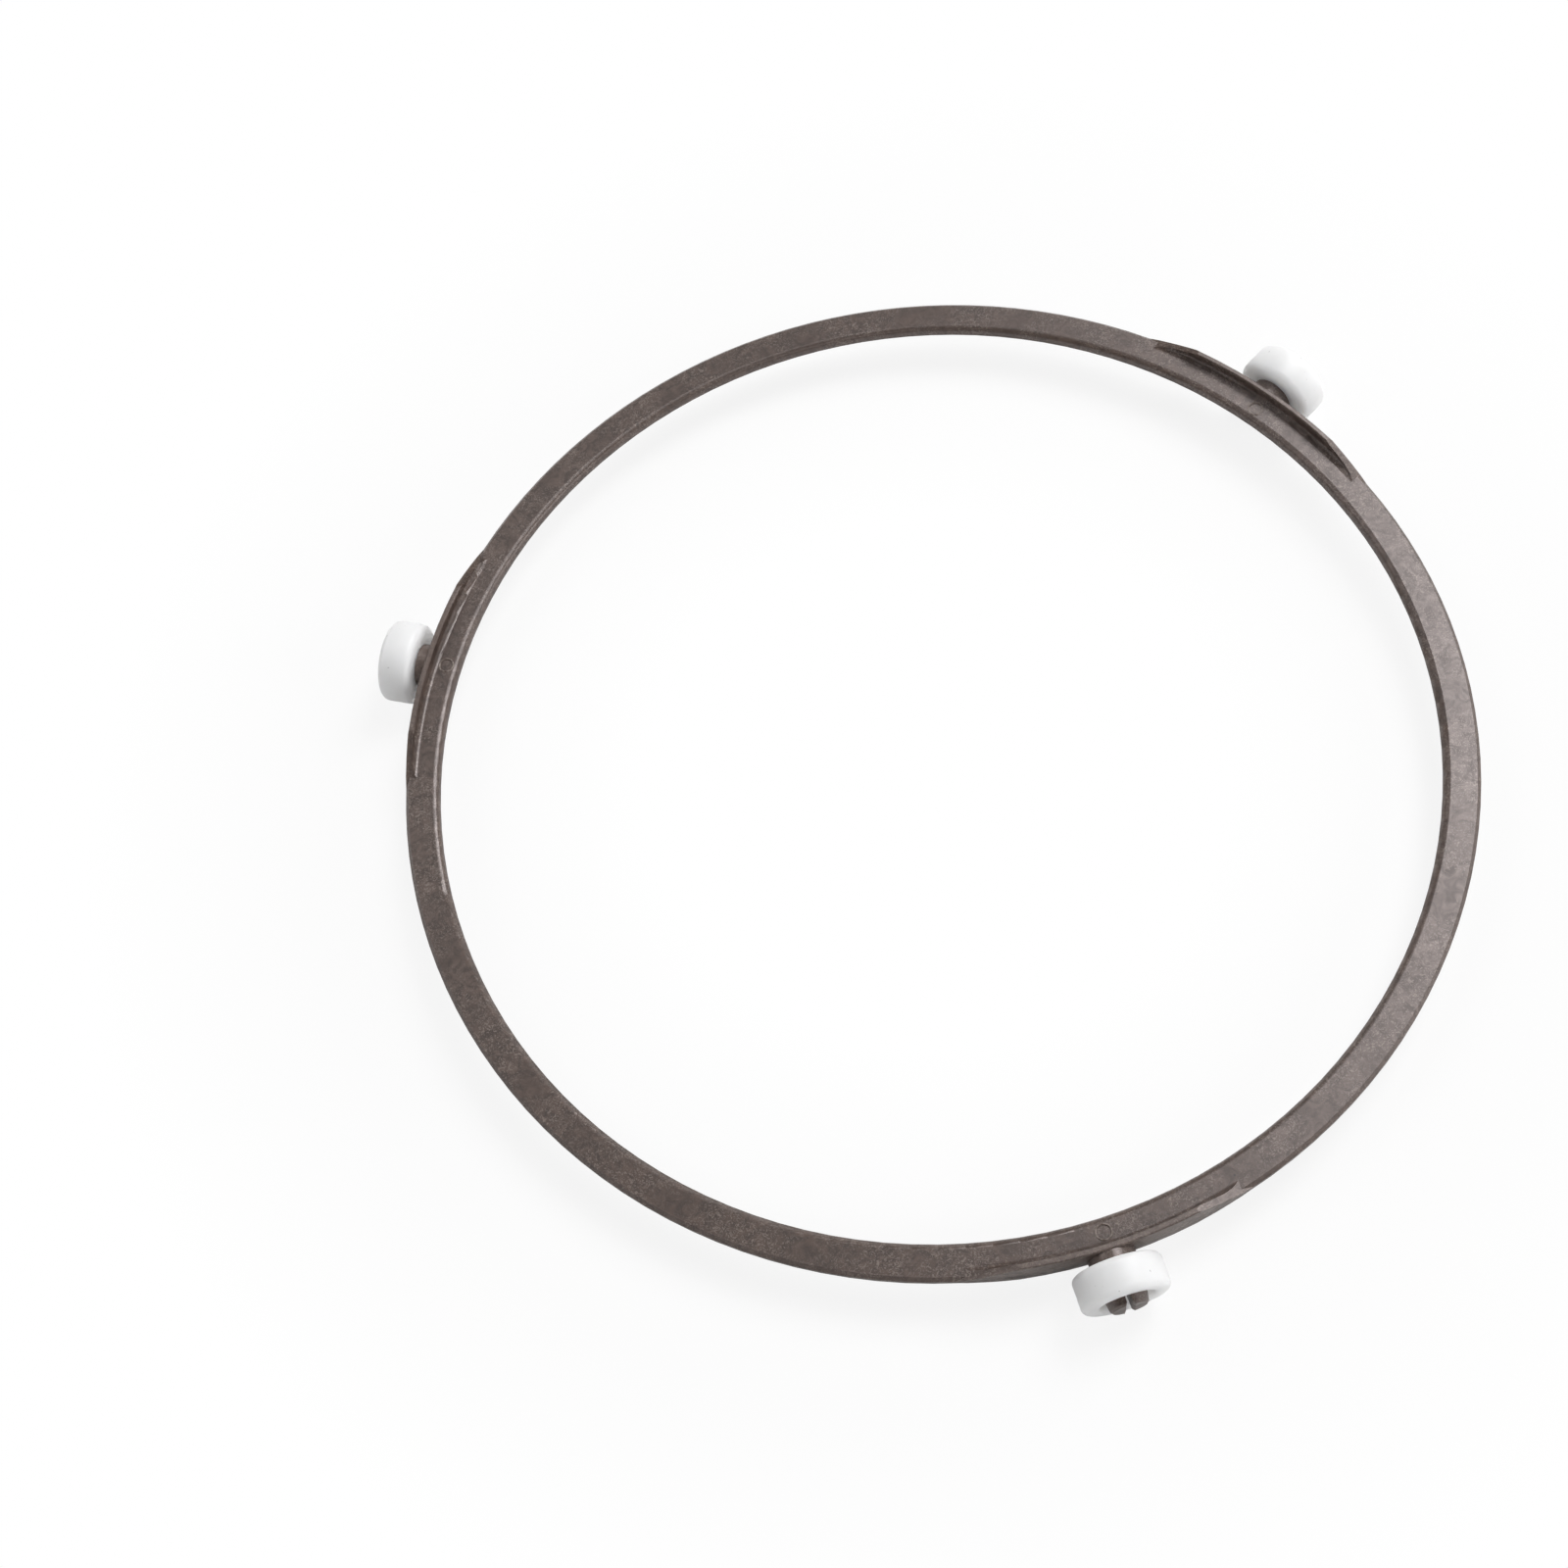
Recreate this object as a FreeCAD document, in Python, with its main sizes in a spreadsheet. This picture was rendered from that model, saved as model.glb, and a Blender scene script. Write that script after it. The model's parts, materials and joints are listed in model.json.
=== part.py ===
import FreeCAD, Part
import math
import os
import Sketcher

# Roller ring of a microwave oven: one moulded ring that carries rollers on split snap axles.
# The ring's axis is Z, the rollers stand on z = 0, and the tray lies on top of the rollers.
# Uprights, axles and rollers are drawn on the +X side and then turned to their places.

ROLLER_COUNT = 3
FIRST_ROLLER_ANGLE = -90.0
# The raw upright is turned this much wider than the outline that is then cut from it.
WALL_BLANK_SPARE = 1.1
ZERO = "0"

# Driving dimensions in millimetres: name, size, meaning.
SIZES = [
    ("ring_diameter", 180.0, "outside of the flat ring"),
    ("ring_width", 5.9, "radial width of the flat ring"),
    ("ring_thickness", 1.9, "height of the flat ring"),
    ("ring_rise", 1.7, "ring's top face above the axle line"),
    ("inner_edge_radius", 1.1, "rounding of the ring's inner top edge"),
    ("outer_edge_bevel", 0.6, "bevel of the ring's outer top edge"),
    ("lower_edge_bevel", 0.3, "bevel of the ring's lower edges"),
    ("wall_rise", 2.35, "upright above the ring's top face"),
    ("wall_drop", 2.4, "upright below the ring's underside"),
    ("wall_thickness", 0.95, "upright at its top"),
    ("wall_lean", 0.25, "draft of the upright's outer face"),
    ("wall_flat_width", 28.5, "level top of the upright, straight across"),
    ("wall_full_width", 50.3, "upright at the ring's mid height, straight across"),
    ("wall_edge_bevel", 0.2, "bevel of the upright's top edges"),
    ("wall_foot_radius", 1.0, "hollow rounding at the upright's inner foot"),
    ("mark_diameter", 2.5, "ejector mark on the ring's top face"),
    ("mark_depth", 0.1, "depth of the ejector mark"),
    ("mark_inset", 3.5, "ejector mark's centre from the ring's outer edge"),
    ("collar_diameter", 7.6, "shoulder that keeps the roller off the upright"),
    ("collar_reach", 1.4, "shoulder's end face beyond the ring's outer edge"),
    ("axle_diameter", 5.6, "split axle inside the roller's bore"),
    ("running_clearance", 0.05, "radial gap between axle and bore"),
    ("end_play", 0.1, "gap at each end of the roller's hub"),
    ("barb_diameter", 6.9, "catch that holds the roller"),
    ("barb_land", 1.0, "level part of the catch along the axle"),
    ("barb_length", 3.2, "catch from its step to the axle's tip"),
    ("tip_diameter", 6.2, "end of the tapered catch"),
    ("tip_bevel", 0.35, "bevel round the axle's tip"),
    ("slot_width", 0.9, "slot that splits the axle"),
    ("slot_mouth", 1.6, "width of the slot at the axle's tip"),
    ("slot_flare", 0.5, "stretch before the tip over which the slot widens"),
    ("slot_setback", 0.6, "root of the slot beyond the shoulder's end face"),
    ("roller_diameter", 14.3, "running surface of the roller"),
    ("roller_width", 5.7, "roller along its axle"),
    ("roller_edge_bevel", 0.65, "bevel of the roller's two rims"),
    ("recess_diameter", 8.7, "pocket in the roller's outer face"),
    ("recess_depth", 2.2, "depth of that pocket"),
    ("recess_edge_bevel", 0.25, "bevel of the pocket's mouth"),
]

# Places worked out from the driving dimensions, as expressions on the sheet.
RING_OUTER = "(sizes.ring_diameter / 2)"
RING_INNER = f"({RING_OUTER} - sizes.ring_width)"
AXLE_HEIGHT = "(sizes.roller_diameter / 2)"
RING_TOP = f"({AXLE_HEIGHT} + sizes.ring_rise)"
RING_BOTTOM = f"({RING_TOP} - sizes.ring_thickness)"
RING_MIDDLE = f"({RING_TOP} - sizes.ring_thickness / 2)"
WALL_TOP = f"({RING_TOP} + sizes.wall_rise)"
WALL_BOTTOM = f"({RING_BOTTOM} - sizes.wall_drop)"
WALL_OUTER = f"({RING_OUTER} - sizes.wall_lean)"
WALL_INNER = f"({WALL_OUTER} - sizes.wall_thickness)"
COLLAR_END = f"({RING_OUTER} + sizes.collar_reach)"
ROLLER_INNER = f"({COLLAR_END} + sizes.end_play)"
ROLLER_OUTER = f"({ROLLER_INNER} + sizes.roller_width)"
RECESS_FLOOR = f"({ROLLER_OUTER} - sizes.recess_depth)"
BARB_STEP = f"({RECESS_FLOOR} + sizes.end_play)"
AXLE_TIP = f"({BARB_STEP} + sizes.barb_length)"


def make_sheet(doc):
    """Write the driving dimensions into an aliased spreadsheet."""
    sheet = doc.addObject("Spreadsheet::Sheet", "sizes")
    for row, (alias, size, meaning) in enumerate(SIZES, start=1):
        sheet.set(f"A{row}", alias)
        sheet.set(f"B{row}", str(size))
        sheet.setAlias(f"B{row}", alias)
        sheet.set(f"C{row}", meaning)
    doc.recompute()
    return sheet


def make_body(doc, label):
    body = doc.addObject("PartDesign::Body", label)
    body.Label = label
    body.AllowCompound = True
    return body


def origin_feature(body, role):
    return next(feature for feature in body.Origin.OriginFeatures if feature.Role == role)


def make_sketch(body, name, role, offset_axis=None, offset=None):
    """Start a sketch on one of the body's origin planes, moved along one of its own axes if asked."""
    sketch = body.newObject("Sketcher::SketchObject", name)
    sketch.AttachmentSupport = [(origin_feature(body, role), "")]
    sketch.MapMode = "FlatFace"
    if offset_axis:
        sketch.setExpression(f"AttachmentOffset.Base.{offset_axis}", offset)
    return sketch


def number(sketch, expression):
    return float(sketch.evalExpression(expression))


def pin_point(sketch, geometry, point, direction, expression):
    """Tie one coordinate of a sketch point to an expression, measured from the sketch's origin."""
    size = number(sketch, expression)
    if expression == ZERO:
        axis = -2 if direction == "DistanceX" else -1
        sketch.addConstraint(Sketcher.Constraint("PointOnObject", geometry, point, axis))
        return
    if size > 0:
        constraint = Sketcher.Constraint(direction, -1, 1, geometry, point, size)
    else:
        constraint = Sketcher.Constraint(direction, geometry, point, -1, 1, -size)
        expression = f"-({expression})"
    index = sketch.addConstraint(constraint)
    sketch.setExpression(f"Constraints[{index}]", expression)


def add_line(sketch, start, end):
    geometry = sketch.addGeometry(Part.LineSegment(start, end))
    return geometry, 1, 2


def add_arc(sketch, start, end, centre):
    """Add the quarter arc from start to end and say which of its ends is which."""
    first = math.atan2(start.y - centre.y, start.x - centre.x)
    last = math.atan2(end.y - centre.y, end.x - centre.x)
    turn = (last - first) % (2 * math.pi)
    circle = Part.Circle(centre, FreeCAD.Vector(0, 0, 1), start.distanceToPoint(centre))
    if turn < math.pi:
        return sketch.addGeometry(Part.ArcOfCircle(circle, first, last)), 1, 2
    return sketch.addGeometry(Part.ArcOfCircle(circle, last, first)), 2, 1


def draw_outline(sketch, corners):
    """Draw a closed outline through corners given as expressions, and dimension each of them.

    A corner is (x, y), or (x, y, centre_x, centre_y) where an arc about that centre leads on.
    """
    points = [FreeCAD.Vector(number(sketch, c[0]), number(sketch, c[1]), 0) for c in corners]
    pieces = []
    for index, corner in enumerate(corners):
        start = points[index]
        end = points[(index + 1) % len(points)]
        if len(corner) == 4:
            centre = FreeCAD.Vector(number(sketch, corner[2]), number(sketch, corner[3]), 0)
            pieces.append(add_arc(sketch, start, end, centre))
        else:
            pieces.append(add_line(sketch, start, end))
    for index, (geometry, first, last) in enumerate(pieces):
        following, following_first, _ = pieces[(index + 1) % len(pieces)]
        sketch.addConstraint(Sketcher.Constraint("Coincident", geometry, last, following, following_first))
    for corner, (geometry, first, last) in zip(corners, pieces):
        pin_point(sketch, geometry, first, "DistanceX", corner[0])
        pin_point(sketch, geometry, first, "DistanceY", corner[1])
        if len(corner) == 4:
            pin_point(sketch, geometry, 3, "DistanceX", corner[2])


def revolve(body, name, sketch, axis, angle=None):
    """Turn a sketch about one of its axes, all the way round or evenly about its own plane."""
    feature = body.newObject("PartDesign::Revolution", name)
    feature.Profile = sketch
    feature.ReferenceAxis = (sketch, [axis])
    feature.Angle = 360
    if angle:
        feature.Midplane = True
        feature.setExpression("Angle", angle)
    return feature


def cut(body, name, sketch, length, towards_normal):
    """Cut a sketch's shape into the body, along the sketch's normal or against it."""
    feature = body.newObject("PartDesign::Pocket", name)
    feature.Profile = sketch
    feature.Reversed = towards_normal
    feature.setExpression("Length", length)
    return feature


def repeat_round(body, name, originals):
    """Repeat features evenly round the ring's axis."""
    pattern = body.newObject("PartDesign::PolarPattern", name)
    pattern.Originals = originals
    pattern.Axis = (origin_feature(body, "Z_Axis"), [""])
    pattern.Angle = 360
    pattern.Occurrences = ROLLER_COUNT
    body.Tip = pattern
    return pattern


def draw_ring_section(body):
    sketch = make_sketch(body, "ring_section", "XZ_Plane")
    low_in = f"{RING_INNER} + sizes.lower_edge_bevel"
    low_out = f"{RING_OUTER} - sizes.lower_edge_bevel"
    low_rise = f"{RING_BOTTOM} + sizes.lower_edge_bevel"
    top_out = f"{RING_OUTER} - sizes.outer_edge_bevel"
    top_out_drop = f"{RING_TOP} - sizes.outer_edge_bevel"
    top_in = f"{RING_INNER} + sizes.inner_edge_radius"
    top_in_drop = f"{RING_TOP} - sizes.inner_edge_radius"
    draw_outline(sketch, [
        (low_in, RING_BOTTOM),
        (low_out, RING_BOTTOM),
        (RING_OUTER, low_rise),
        (RING_OUTER, top_out_drop),
        (top_out, RING_TOP),
        (top_in, RING_TOP, top_in, top_in_drop),
        (RING_INNER, top_in_drop),
        (RING_INNER, low_rise),
    ])
    return sketch


def draw_wall_section(body):
    """Section of the upright: drafted outside, bevelled on top, with a hollow foot on the inside."""
    sketch = make_sketch(body, "wall_section", "XZ_Plane")
    edge_out = f"{WALL_OUTER} - sizes.wall_edge_bevel"
    edge_in = f"{WALL_INNER} + sizes.wall_edge_bevel"
    edge_drop = f"{WALL_TOP} - sizes.wall_edge_bevel"
    foot_in = f"{WALL_INNER} - sizes.wall_foot_radius"
    foot_rise = f"{RING_TOP} + sizes.wall_foot_radius"
    draw_outline(sketch, [
        (WALL_INNER, WALL_BOTTOM),
        (WALL_OUTER, WALL_BOTTOM),
        (RING_OUTER, RING_BOTTOM),
        (RING_OUTER, RING_TOP),
        (WALL_OUTER, edge_drop),
        (edge_out, WALL_TOP),
        (edge_in, WALL_TOP),
        (WALL_INNER, edge_drop),
        (WALL_INNER, foot_rise, foot_in, foot_rise),
        (foot_in, RING_TOP),
        (foot_in, RING_MIDDLE),
        (WALL_INNER, RING_MIDDLE),
    ])
    return sketch


def draw_wall_trim(body):
    """Frame round the upright's six-sided front: what lies between the two outlines is cut away."""
    sketch = make_sketch(body, "wall_trim", "YZ_Plane")
    half_flat = "sizes.wall_flat_width / 2"
    half_full = "sizes.wall_full_width / 2"
    half_frame = "sizes.wall_full_width"
    frame_low = f"{WALL_BOTTOM} - sizes.wall_drop"
    frame_high = f"{WALL_TOP} + sizes.wall_rise"
    draw_outline(sketch, [
        (f"-{half_flat}", WALL_BOTTOM),
        (half_flat, WALL_BOTTOM),
        (half_full, RING_MIDDLE),
        (half_flat, WALL_TOP),
        (f"-{half_flat}", WALL_TOP),
        (f"-{half_full}", RING_MIDDLE),
    ])
    draw_outline(sketch, [
        (f"-{half_frame}", frame_low),
        (half_frame, frame_low),
        (half_frame, frame_high),
        (f"-{half_frame}", frame_high),
    ])
    return sketch


def draw_axle_section(body):
    """Half section of shoulder, axle and tapered catch, drawn above the axle line."""
    sketch = make_sketch(body, "axle_section", "XZ_Plane", "y", AXLE_HEIGHT)
    root = f"{WALL_INNER} + sizes.wall_thickness / 2"
    collar = "sizes.collar_diameter / 2"
    axle = "sizes.axle_diameter / 2"
    barb = "sizes.barb_diameter / 2"
    tip = "sizes.tip_diameter / 2"
    draw_outline(sketch, [
        (root, ZERO),
        (AXLE_TIP, ZERO),
        (AXLE_TIP, f"{tip} - sizes.tip_bevel"),
        (f"{AXLE_TIP} - sizes.tip_bevel", tip),
        (f"{BARB_STEP} + sizes.barb_land", barb),
        (BARB_STEP, barb),
        (BARB_STEP, axle),
        (COLLAR_END, axle),
        (COLLAR_END, collar),
        (root, collar),
    ])
    return sketch


def draw_axle_slot(body):
    """Slot that splits the axle in two prongs, seen from above, with a mouth that widens to the tip."""
    sketch = make_sketch(body, "axle_slot", "XY_Plane")
    half = "sizes.slot_width / 2"
    half_mouth = "sizes.slot_mouth / 2"
    root = f"{COLLAR_END} + sizes.slot_setback"
    flare_start = f"{AXLE_TIP} - sizes.slot_flare"
    past_tip = f"{AXLE_TIP} + sizes.slot_width"
    draw_outline(sketch, [
        (root, f"-{half}"),
        (flare_start, f"-{half}"),
        (AXLE_TIP, f"-{half_mouth}"),
        (past_tip, f"-{half_mouth}"),
        (past_tip, half_mouth),
        (AXLE_TIP, half_mouth),
        (flare_start, half),
        (root, half),
    ])
    return sketch


def draw_mark(body):
    """Circle of the ejector mark, on the ring's top face in line with the axle."""
    sketch = make_sketch(body, "ejector_mark", "XY_Plane", "z", RING_TOP)
    place = f"{RING_OUTER} - sizes.mark_inset"
    radius = "sizes.mark_diameter / 2"
    centre = FreeCAD.Vector(number(sketch, place), 0, 0)
    circle = Part.Circle(centre, FreeCAD.Vector(0, 0, 1), number(sketch, radius))
    geometry = sketch.addGeometry(circle)
    pin_point(sketch, geometry, 3, "DistanceX", place)
    pin_point(sketch, geometry, 3, "DistanceY", ZERO)
    index = sketch.addConstraint(Sketcher.Constraint("Radius", geometry, number(sketch, radius)))
    sketch.setExpression(f"Constraints[{index}]", radius)
    return sketch


def make_ring_frame(doc):
    """The moulding: uprights with their split axles first, then the flat ring that joins them."""
    body = make_body(doc, "ring_frame")
    wall_angle = f"2 * asin(sizes.wall_full_width / sizes.ring_diameter) * {WALL_BLANK_SPARE}"
    wall = revolve(body, "wall", draw_wall_section(body), "V_Axis", wall_angle)
    trim = cut(body, "wall_ends", draw_wall_trim(body), "sizes.ring_diameter", True)
    axle = revolve(body, "axle", draw_axle_section(body), "H_Axis")
    slot = cut(body, "slot", draw_axle_slot(body), "sizes.roller_diameter", True)
    repeat_round(body, "uprights", [wall, trim, axle, slot])
    revolve(body, "ring", draw_ring_section(body), "V_Axis")
    mark = cut(body, "mark", draw_mark(body), "sizes.mark_depth", False)
    repeat_round(body, "marks", [mark])
    turn_body(body, FIRST_ROLLER_ANGLE)
    return body


def make_roller(doc, place):
    """Roller with a plain bore for the axle and a pocket for the catch in its outer face."""
    body = make_body(doc, f"roller_{place + 1}")
    sketch = make_sketch(body, f"{body.Name}_section", "XZ_Plane", "y", AXLE_HEIGHT)
    bore = "sizes.axle_diameter / 2 + sizes.running_clearance"
    rim = "sizes.roller_diameter / 2"
    rim_drop = f"{rim} - sizes.roller_edge_bevel"
    rim_in = f"{ROLLER_INNER} + sizes.roller_edge_bevel"
    rim_out = f"{ROLLER_OUTER} - sizes.roller_edge_bevel"
    recess = "sizes.recess_diameter / 2"
    mouth = f"{recess} + sizes.recess_edge_bevel"
    mouth_in = f"{ROLLER_OUTER} - sizes.recess_edge_bevel"
    draw_outline(sketch, [
        (ROLLER_INNER, bore),
        (RECESS_FLOOR, bore),
        (RECESS_FLOOR, recess),
        (mouth_in, recess),
        (ROLLER_OUTER, mouth),
        (ROLLER_OUTER, rim_drop),
        (rim_out, rim),
        (rim_in, rim),
        (ROLLER_INNER, rim_drop),
    ])
    revolve(body, f"{body.Name}_turning", sketch, "H_Axis")
    turn_body(body, FIRST_ROLLER_ANGLE + place * 360 / ROLLER_COUNT)
    return body


def turn_body(body, angle):
    """Turn a body about the ring's axis to its place."""
    rotation = FreeCAD.Rotation(FreeCAD.Vector(0, 0, 1), angle)
    body.Placement = FreeCAD.Placement(FreeCAD.Vector(), rotation)


def check_document(doc, bodies):
    """Stop if anything failed to compute, a cut missed, or a piece isn't one valid solid."""
    for item in doc.Objects:
        if "Invalid" in item.State or "Error" in item.State:
            raise RuntimeError(f"{item.Name} failed: {item.State}")
        if item.TypeId == "PartDesign::Pocket" and item.Shape.Volume >= item.BaseFeature.Shape.Volume:
            raise RuntimeError(f"{item.Name} cuts nothing")
    for body in bodies:
        shape = body.Shape
        if shape.isNull() or not shape.isValid() or len(shape.Solids) != 1:
            raise RuntimeError(f"{body.Label} is not one valid solid")


def main():
    doc = FreeCAD.newDocument("roller_ring")
    make_sheet(doc)
    bodies = [make_ring_frame(doc)]
    bodies += [make_roller(doc, place) for place in range(ROLLER_COUNT)]
    doc.recompute()
    check_document(doc, bodies)
    os.makedirs("parts", exist_ok=True)
    for body in bodies:
        body.Shape.exportStep(f"parts/{body.Label}.step")
        print(body.Label, round(body.Shape.Volume, 2), body.Shape.BoundBox)


main()
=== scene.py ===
import json
import math

import bmesh
import bpy
from mathutils import Matrix, Vector


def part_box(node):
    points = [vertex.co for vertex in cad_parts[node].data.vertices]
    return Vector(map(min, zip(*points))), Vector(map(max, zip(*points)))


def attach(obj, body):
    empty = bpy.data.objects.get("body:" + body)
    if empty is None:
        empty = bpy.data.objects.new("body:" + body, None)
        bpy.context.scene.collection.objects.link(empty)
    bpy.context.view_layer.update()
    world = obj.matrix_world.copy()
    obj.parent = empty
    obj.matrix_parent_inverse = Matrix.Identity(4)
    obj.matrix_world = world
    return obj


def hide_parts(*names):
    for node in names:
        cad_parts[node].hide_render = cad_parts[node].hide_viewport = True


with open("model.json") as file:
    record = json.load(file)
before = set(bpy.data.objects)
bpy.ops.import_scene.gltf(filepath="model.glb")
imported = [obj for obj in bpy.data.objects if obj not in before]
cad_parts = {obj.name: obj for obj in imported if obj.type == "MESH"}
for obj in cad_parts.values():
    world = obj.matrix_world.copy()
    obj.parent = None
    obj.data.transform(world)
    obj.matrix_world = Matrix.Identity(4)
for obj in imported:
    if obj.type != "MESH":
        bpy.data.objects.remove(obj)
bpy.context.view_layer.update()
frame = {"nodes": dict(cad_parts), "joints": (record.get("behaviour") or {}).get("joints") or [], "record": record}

# Looks of a microwave oven's roller ring: a brown glass-filled moulding with white rollers.
# Metres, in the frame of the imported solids: the ring's axis is Z and the rollers stand on z = 0.

MM = 0.001

# Camera, as read from the photograph's perspective.
VIEW_TARGET = Vector((-33.14, 9.48, 8.85)) * MM
VIEW_DISTANCE = 401.2 * MM
VIEW_AZIMUTH = math.radians(-0.464)
VIEW_ELEVATION = math.radians(64.178)
VIEW_ROLL = math.radians(-17.178)
VIEW_LENS = 54.13
VIEW_SHIFT = (0.0380, -0.0167)
VIEW_END = 20

# Rollers: the roundings that their moulds give them, and the pocket for the catch.
ROLLER_RIM_RADIUS = 0.95 * MM
POCKET_RADIUS = 4.35 * MM
POCKET_DEPTH = 2.2 * MM
POCKET_MOUTH_RADIUS = 0.6 * MM
BORE_RADIUS = 2.85 * MM
ROLLER_SEGMENTS = 128
ARC_STEPS = 8
SHARP_ANGLE = math.radians(50)

# Ejector marks on the ring's top face: a thin raised rim round each.
RING_TOP = 8.85 * MM
MARK_PLACE = 86.5 * MM
MARK_RADIUS = 1.25 * MM
MARK_RIM = 0.2 * MM
MARK_RIM_SUNK = 0.1 * MM
MARK_SEGMENTS = 64
MARK_RIM_SEGMENTS = 10

# The values that most of a noise lies between.
NOISE_RANGE = (0.3, 0.7)

# Ring plastic: linear colours.
BROWN_DARK = (0.036, 0.023, 0.017)
BROWN_LIGHT = (0.088, 0.060, 0.048)
FLECK = (0.22, 0.178, 0.155)
# Painted highlight along the ring's top edges and the tops of its walls.
EDGE_HIGHLIGHT = (0.150, 0.115, 0.098)
WARM_SHEEN = (1.0, 0.92, 0.915)
BLACK = (0.010, 0.009, 0.008)

# Ring plastic: its patterns, and the noise values between which each one fades in.
# Every bump is a (depth, strength), and every roughness goes with the two ends of NOISE_RANGE.
CLOUD_SIZE = 8 * MM
CLOUD_RANGE = (0.34, 0.56)
SWIRL_SIZE = 2.4 * MM
SWIRL_DISTORTION = 1.6
SWIRL_RANGE = (0.36, 0.66)
SWIRL_BUMP = (0.03 * MM, 0.25)
GRAIN_SIZE = 0.5 * MM
GRAIN_BUMP = (0.012 * MM, 0.5)
FIBRE_SIZE = 0.7 * MM
FIBRE_DISTORTION = 2.5
FIBRE_RANGE = (0.51, 0.65)
FLECK_SHARE = 0.75
RING_ROUGHNESS = (0.42, 0.32)
RING_IOR = 1.72

# Ring plastic: the one dark inclusion, and where the painted edge highlight grows from none to full, as radii or
# heights.
BLACK_SPECK = Vector((21.8, -84.3, 8.85)) * MM
BLACK_SPECK_RADIUS = 0.26 * MM
INNER_EDGE = (84.9 * MM, 84.4 * MM)
OUTER_EDGE = (89.2 * MM, 89.7 * MM)
RIM_EDGE = (RING_TOP - 1.2 * MM, RING_TOP)
WALL_EDGE = (10.95 * MM, 11.15 * MM)
EDGE_HIGHLIGHT_SHARE = (0.1, 0.6)

# Rims of the ejector marks, painted pale as a highlight in patches.
RIM_HIGHLIGHT = (0.28, 0.235, 0.21)
RIM_PATCH_SIZE = 0.6 * MM
RIM_PATCH_RANGE = (0.35, 0.65)
RIM_PATCH_BUMP = (0.02 * MM, 0.4)
RIM_ROUGHNESS = (0.5, 0.4)

# Roller plastic: light spreads inside it, red a little farther than blue.
WHITE_DARK = (0.950, 0.943, 0.930)
WHITE_LIGHT = (0.970, 0.963, 0.950)
WHITE_SPECK = (0.42, 0.41, 0.40)
MOTTLE_SIZE = 1.8 * MM
MOTTLE_BUMP = (0.03 * MM, 0.3)
DUST_SIZE = 0.55 * MM
DUST_RANGE = (0.78, 0.82)
DUST_SHARE = 0.7
ROLLER_ROUGHNESS = (0.48, 0.40)
ROLLER_IOR = 1.48
LIGHT_SPREAD = 8 * MM
LIGHT_SPREAD_BY_COLOUR = (1.0, 0.985, 0.955)

# Studio: brightness where 1 is white, sizes in metres. The floor's glow fades between two distances
# from the ring's axis, and the walls between two sines of the elevation.
FLOOR_SIZE = 8
FLOOR_WHITE = 0.92
FLOOR_ROUGHNESS = 0.9
FLOOR_GLOW = 0.85
GLOW_INSIDE = (0.050, 0.076)
GLOW_OUTSIDE = (0.108, 0.150)
CEILING = 0.0
WALLS_END = (0.14, 0.26)
LAMP_DISTANCE = 2.0

# Softboxes as (name, azimuth from +X towards +Y, elevation, width, brightness), with angles in degrees.
SOFTBOXES = (
    ("key_light", 32, 49, 0.92, 9.1),
    ("top_light", 37, 64, 0.92, 4.8),
    ("front_right_fill", 330, 24, 0.92, 5.3),
    ("front_fill", 275, 50, 0.92, 2.0),
    ("back_fill", 120, 49, 1.6, 1.05),
    ("left_fill", 165, 46, 0.92, 1.6),
)


class Graph:
    """Short names for building a node tree."""

    def __init__(self, owner):
        self.tree = owner.node_tree

    def add(self, kind, **settings):
        node = self.tree.nodes.new(f"ShaderNode{kind}")
        for name, value in settings.items():
            setattr(node, name, value)
        return node

    def feed(self, socket, value):
        """Link an output to a socket, or set the socket to a plain value."""
        if isinstance(value, bpy.types.NodeSocket):
            self.tree.links.new(value, socket)
        elif socket.type == "RGBA":
            socket.default_value = (*value, 1)
        else:
            socket.default_value = value

    def place(self):
        """Coordinates of the piece itself, in metres, so that the finish moves with it."""
        return self.add("TexCoord").outputs["Object"]

    def noise(self, place, size, detail, distortion=0.0):
        """Noise whose features are about size metres across."""
        node = self.add("TexNoise")
        self.feed(node.inputs["Vector"], place)
        self.feed(node.inputs["Scale"], 1 / size)
        self.feed(node.inputs["Detail"], detail)
        self.feed(node.inputs["Distortion"], distortion)
        return node.outputs["Fac"]

    def spread(self, value, low, high, to_low=0.0, to_high=1.0):
        """Stretch a value's range from low..high to to_low..to_high, clamped."""
        node = self.add("MapRange")
        self.feed(node.inputs["Value"], value)
        self.feed(node.inputs["From Min"], low)
        self.feed(node.inputs["From Max"], high)
        self.feed(node.inputs["To Min"], to_low)
        self.feed(node.inputs["To Max"], to_high)
        return node.outputs["Result"]

    def calculate(self, operation, first, second):
        node = self.add("Math", operation=operation)
        self.feed(node.inputs[0], first)
        self.feed(node.inputs[1], second)
        return node.outputs[0]

    def mix(self, factor, first, second):
        """Blend two colours, each an output or a plain colour."""
        node = self.add("Mix", data_type="RGBA")
        self.feed(node.inputs["Factor"], factor)
        colours = [socket for socket in node.inputs if socket.type == "RGBA"]
        self.feed(colours[0], first)
        self.feed(colours[1], second)
        return next(socket for socket in node.outputs if socket.type == "RGBA")

    def bump(self, height, depth, strength, normal=None):
        node = self.add("Bump")
        self.feed(node.inputs["Height"], height)
        self.feed(node.inputs["Distance"], depth)
        self.feed(node.inputs["Strength"], strength)
        if normal is not None:
            self.feed(node.inputs["Normal"], normal)
        return node.outputs["Normal"]


def new_material(name):
    material = bpy.data.materials.new(name)
    material.use_nodes = True
    return material, Graph(material), material.node_tree.nodes["Principled BSDF"]


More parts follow.
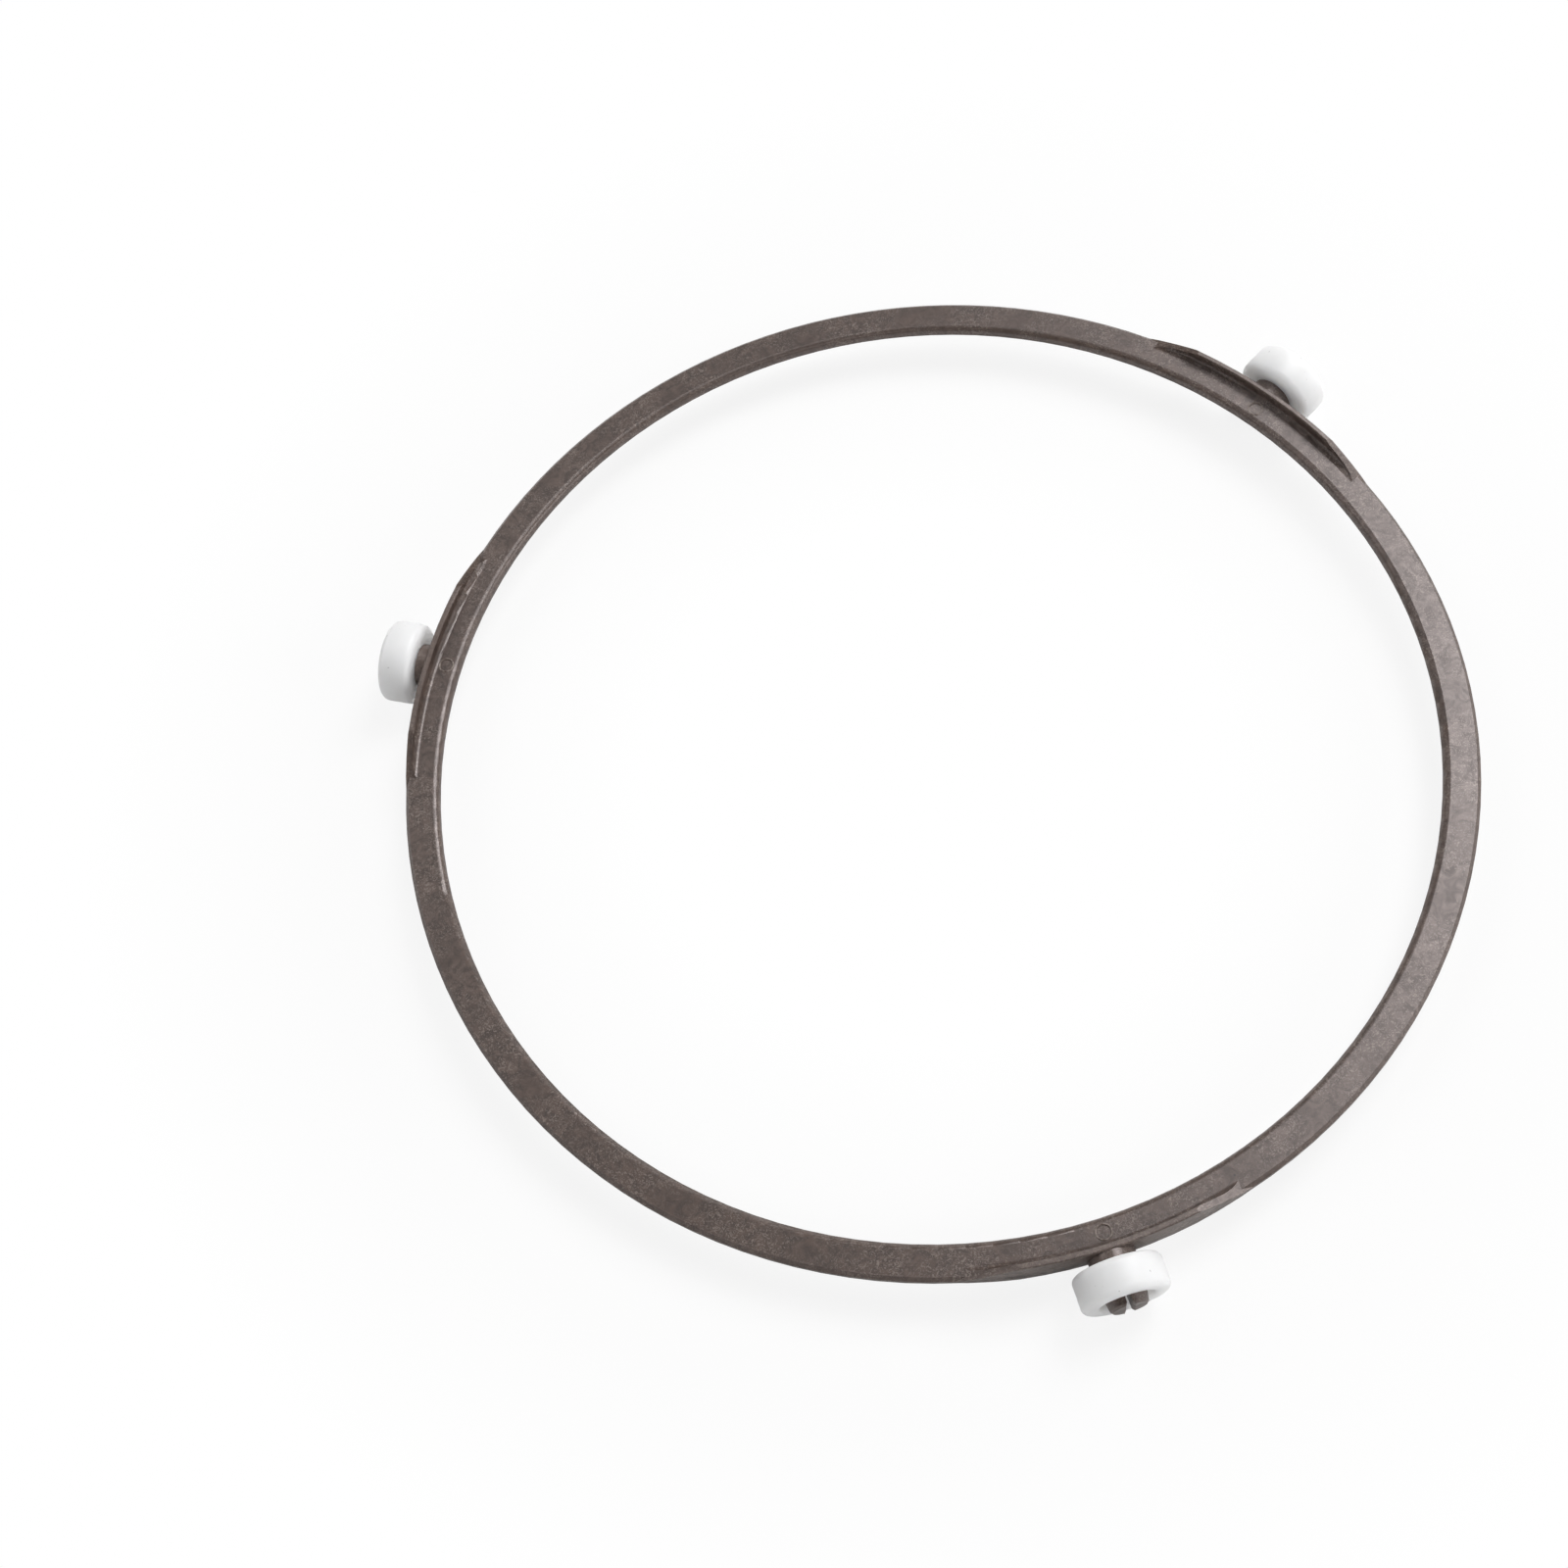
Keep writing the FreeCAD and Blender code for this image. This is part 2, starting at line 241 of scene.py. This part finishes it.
def highlit_edges(graph, place):
    """1 at the ring's inner and outer top edges and along the tops of its walls, where a highlight is painted."""
    parts = graph.add("SeparateXYZ")
    graph.feed(parts.inputs["Vector"], place)
    flat = graph.add("CombineXYZ")
    graph.feed(flat.inputs["X"], parts.outputs["X"])
    graph.feed(flat.inputs["Y"], parts.outputs["Y"])
    radius = graph.add("VectorMath", operation="LENGTH")
    graph.feed(radius.inputs[0], flat.outputs["Vector"])
    inner = graph.spread(radius.outputs["Value"], *INNER_EDGE)
    outer = graph.spread(radius.outputs["Value"], *OUTER_EDGE)
    rims = graph.calculate("MAXIMUM", inner, outer)
    high = graph.spread(parts.outputs["Z"], *RIM_EDGE)
    wall = graph.spread(parts.outputs["Z"], *WALL_EDGE)
    return graph.calculate("MAXIMUM", graph.calculate("MULTIPLY", rims, high), wall)


def black_speck(graph, place):
    """1 inside the one dark inclusion in the ring's top face."""
    gap = graph.add("VectorMath", operation="DISTANCE")
    graph.feed(gap.inputs[0], place)
    graph.feed(gap.inputs[1], BLACK_SPECK)
    return graph.spread(gap.outputs["Value"], BLACK_SPECK_RADIUS / 2, BLACK_SPECK_RADIUS, 1.0, 0.0)


def make_ring_plastic():
    """Brown glass-filled plastic: cloudy patches, with pale fibre flecks in some of them, and a painted highlight
    along its edges.
    """
    material, graph, shader = new_material("ring_plastic_finish")
    place = graph.place()
    cloud = graph.noise(place, CLOUD_SIZE, detail=2)
    swirl = graph.noise(place, SWIRL_SIZE, detail=4, distortion=SWIRL_DISTORTION)
    grain = graph.noise(place, GRAIN_SIZE, detail=3)
    fibre = graph.noise(place, FIBRE_SIZE, detail=2, distortion=FIBRE_DISTORTION)
    edges = highlit_edges(graph, place)
    # Painted highlight along the edges, broken up by the grain noise.
    edge_highlight = graph.calculate("MULTIPLY", edges, graph.spread(grain, *NOISE_RANGE, *EDGE_HIGHLIGHT_SHARE))

    fibres = graph.spread(fibre, *FIBRE_RANGE)
    flecked = graph.calculate("MULTIPLY", fibres, graph.spread(cloud, *CLOUD_RANGE))
    colour = graph.mix(graph.spread(swirl, *SWIRL_RANGE), BROWN_DARK, BROWN_LIGHT)
    colour = graph.mix(graph.spread(flecked, 0.0, 1.0, 0.0, FLECK_SHARE), colour, FLECK)
    colour = graph.mix(edge_highlight, colour, EDGE_HIGHLIGHT)
    colour = graph.mix(black_speck(graph, place), colour, BLACK)
    graph.feed(shader.inputs["Base Color"], colour)
    graph.feed(shader.inputs["Roughness"], graph.spread(swirl, *NOISE_RANGE, *RING_ROUGHNESS))
    graph.feed(shader.inputs["IOR"], RING_IOR)
    graph.feed(shader.inputs["Specular Tint"], WARM_SHEEN)
    normal = graph.bump(swirl, *SWIRL_BUMP)
    graph.feed(shader.inputs["Normal"], graph.bump(grain, *GRAIN_BUMP, normal))
    return material


def make_roller_plastic():
    """White satin plastic, faintly uneven, with a few grey specks."""
    material, graph, shader = new_material("roller_plastic_finish")
    place = graph.place()
    mottle = graph.noise(place, MOTTLE_SIZE, detail=4)
    dust = graph.noise(place, DUST_SIZE, detail=1)
    colour = graph.mix(graph.spread(mottle, *NOISE_RANGE), WHITE_DARK, WHITE_LIGHT)
    colour = graph.mix(graph.spread(dust, *DUST_RANGE, 0.0, DUST_SHARE), colour, WHITE_SPECK)
    graph.feed(shader.inputs["Base Color"], colour)
    graph.feed(shader.inputs["Roughness"], graph.spread(mottle, *NOISE_RANGE, *ROLLER_ROUGHNESS))
    graph.feed(shader.inputs["IOR"], ROLLER_IOR)
    graph.feed(shader.inputs["Subsurface Weight"], 1.0)
    graph.feed(shader.inputs["Subsurface Radius"], LIGHT_SPREAD_BY_COLOUR)
    graph.feed(shader.inputs["Subsurface Scale"], LIGHT_SPREAD)
    graph.feed(shader.inputs["Normal"], graph.bump(mottle, *MOTTLE_BUMP))
    return material


def make_rim_highlight():
    """The ring's plastic on the ejector marks' rims, painted pale in patches as a highlight."""
    material, graph, shader = new_material("mark_rim_highlight")
    patches = graph.noise(graph.place(), RIM_PATCH_SIZE, detail=3)
    # Painted highlight on the rims, in patches.
    colour = graph.mix(graph.spread(patches, *RIM_PATCH_RANGE), BROWN_LIGHT, RIM_HIGHLIGHT)
    graph.feed(shader.inputs["Base Color"], colour)
    graph.feed(shader.inputs["Roughness"], graph.spread(patches, *NOISE_RANGE, *RIM_ROUGHNESS))
    graph.feed(shader.inputs["Normal"], graph.bump(patches, *RIM_PATCH_BUMP))
    return material


def arc(centre, radius, start, end):
    """Points of a quarter round in a roller's half section, from start to end degrees."""
    points = []
    for step in range(ARC_STEPS + 1):
        angle = math.radians(start + (end - start) * step / ARC_STEPS)
        points.append((centre[0] + radius * math.cos(angle), centre[1] + radius * math.sin(angle)))
    return points


def roller_section(radius, width):
    """Half section as (along the axle, from the axle), with the open pocket at the positive end."""
    half = width / 2
    rim = ROLLER_RIM_RADIUS
    mouth = POCKET_MOUTH_RADIUS
    section = [(-half, BORE_RADIUS)]
    section += arc((-half + rim, radius - rim), rim, 180, 90)
    section += arc((half - rim, radius - rim), rim, 90, 0)
    section += arc((half - mouth, POCKET_RADIUS + mouth), mouth, 0, -90)
    section += [(half - POCKET_DEPTH, POCKET_RADIUS), (half - POCKET_DEPTH, BORE_RADIUS)]
    return section


def turn_section(name, section):
    """Turn a closed half section about X into a mesh with smooth sides."""
    shape = bmesh.new()
    angles = [2 * math.pi * step / ROLLER_SEGMENTS for step in range(ROLLER_SEGMENTS)]
    rings = []
    for along, away in section:
        rings.append([shape.verts.new((along, away * math.cos(a), away * math.sin(a))) for a in angles])
    for ring, following in zip(rings, rings[1:] + rings[:1]):
        for step in range(ROLLER_SEGMENTS):
            after = (step + 1) % ROLLER_SEGMENTS
            shape.faces.new((ring[step], ring[after], following[after], following[step]))
    bmesh.ops.recalc_face_normals(shape, faces=shape.faces)
    for face in shape.faces:
        face.smooth = True
    for edge in shape.edges:
        edge.smooth = edge.calc_face_angle() < SHARP_ANGLE
    mesh = bpy.data.meshes.new(name)
    shape.to_mesh(mesh)
    shape.free()
    return mesh


def add_rollers(material):
    """One turned roller on each joint's axis, in place of the plain solid there."""
    low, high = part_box("roller_1")
    section = roller_section((high.z - low.z) / 2, high.y - low.y)
    for joint in frame["joints"]:
        body = joint["child"]
        roller = bpy.data.objects.new(f"{body}_turned", turn_section(f"{body}_turned", section))
        bpy.context.scene.collection.objects.link(roller)
        roller.matrix_world = Matrix.LocRotScale(
            Vector(joint["pos_m"]), Vector(joint["axis"]).to_track_quat("X", "Z"), None)
        roller.data.materials.append(material)
        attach(roller, body)
        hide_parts(frame["record"]["behaviour"]["bodies"][body][0])


def add_mark_rims(material):
    """A thin raised rim round each ejector mark, in line with the rollers."""
    for number, joint in enumerate(frame["joints"], 1):
        bpy.ops.mesh.primitive_torus_add(
            major_radius=MARK_RADIUS, minor_radius=MARK_RIM,
            major_segments=MARK_SEGMENTS, minor_segments=MARK_RIM_SEGMENTS)
        rim = bpy.context.object
        rim.name = f"mark_rim_{number}"
        rim.location = Vector(joint["axis"]) * MARK_PLACE + Vector((0, 0, RING_TOP - MARK_RIM_SUNK))
        rim.data.materials.append(material)
        for face in rim.data.polygons:
            face.use_smooth = True
        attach(rim, "ring")


def add_camera():
    toward = Vector((
        math.sin(VIEW_AZIMUTH) * math.cos(VIEW_ELEVATION),
        -math.cos(VIEW_AZIMUTH) * math.cos(VIEW_ELEVATION),
        math.sin(VIEW_ELEVATION),
    ))
    level = Vector((0, 0, 1)).cross(toward).normalized()
    upright = toward.cross(level)
    right = math.cos(VIEW_ROLL) * level + math.sin(VIEW_ROLL) * upright
    up = math.cos(VIEW_ROLL) * upright - math.sin(VIEW_ROLL) * level
    camera = bpy.data.objects.new("camera", bpy.data.cameras.new("camera"))
    bpy.context.scene.collection.objects.link(camera)
    turn = Matrix((right, up, toward)).transposed().to_4x4()
    camera.matrix_world = Matrix.Translation(VIEW_TARGET + toward * VIEW_DISTANCE) @ turn
    camera.data.lens = VIEW_LENS
    camera.data.shift_x, camera.data.shift_y = VIEW_SHIFT
    camera.data.clip_end = VIEW_END
    bpy.context.scene.camera = camera


def add_floor():
    """A white floor that glows to the eye, less near the ring, so that its soft shadow stays."""
    material, graph, shader = new_material("studio_floor")
    graph.feed(shader.inputs["Base Color"], (FLOOR_WHITE, FLOOR_WHITE, FLOOR_WHITE))
    graph.feed(shader.inputs["Roughness"], FLOOR_ROUGHNESS)
    graph.feed(shader.inputs["Specular IOR Level"], 0.0)
    away = graph.add("VectorMath", operation="LENGTH")
    graph.feed(away.inputs[0], graph.place())
    inside = graph.spread(away.outputs["Value"], *GLOW_INSIDE, 1.0, FLOOR_GLOW)
    outside = graph.spread(away.outputs["Value"], *GLOW_OUTSIDE, FLOOR_GLOW, 1.0)
    glow = graph.calculate("MAXIMUM", inside, outside)
    seen = graph.add("LightPath").outputs["Is Camera Ray"]
    both = graph.add("MixShader")
    graph.feed(both.inputs["Fac"], graph.calculate("MULTIPLY", seen, glow))
    graph.feed(both.inputs[1], shader.outputs["BSDF"])
    graph.feed(both.inputs[2], graph.add("Emission").outputs["Emission"])
    graph.feed(graph.tree.nodes["Material Output"].inputs["Surface"], both.outputs["Shader"])
    bpy.ops.mesh.primitive_plane_add(size=FLOOR_SIZE)
    floor = bpy.context.object
    floor.name = "floor"
    floor.data.materials.append(material)


def add_world():
    """White walls all round up to a low height and a dark ceiling, all white to the eye."""
    world = bpy.data.worlds.new("studio")
    world.use_nodes = True
    bpy.context.scene.world = world
    graph = Graph(world)
    height = graph.add("SeparateXYZ")
    graph.feed(height.inputs["Vector"], graph.add("TexCoord").outputs["Generated"])
    background = graph.tree.nodes["Background"]
    graph.feed(background.inputs["Color"], (1, 1, 1))
    walls = graph.spread(height.outputs["Z"], *WALLS_END, 1.0, CEILING)
    seen = graph.add("LightPath").outputs["Is Camera Ray"]
    graph.feed(background.inputs["Strength"], graph.calculate("MAXIMUM", walls, seen))


def add_softbox(name, azimuth, elevation, width, brightness):
    """A round soft light that looks at the ring's middle. Its power is pi times brightness and area."""
    light = bpy.data.lights.new(name, "AREA")
    light.shape = "DISK"
    light.size = width
    light.energy = brightness * math.pi * math.pi * (width / 2) ** 2
    lamp = bpy.data.objects.new(name, light)
    bpy.context.scene.collection.objects.link(lamp)
    turn, rise = math.radians(azimuth), math.radians(elevation)
    toward = Vector((
        math.cos(rise) * math.cos(turn),
        math.cos(rise) * math.sin(turn),
        math.sin(rise),
    ))
    lamp.location = toward * LAMP_DISTANCE
    lamp.rotation_euler = toward.to_track_quat("Z", "Y").to_euler()
    lamp.visible_camera = False


ring_plastic = make_ring_plastic()
roller_plastic = make_roller_plastic()
frame["nodes"]["ring_frame"].material_slots[0].material = ring_plastic
add_rollers(roller_plastic)
add_mark_rims(make_rim_highlight())
add_floor()
add_world()
for softbox in SOFTBOXES:
    add_softbox(*softbox)
add_camera()
bpy.context.scene.view_settings.view_transform = "Standard"
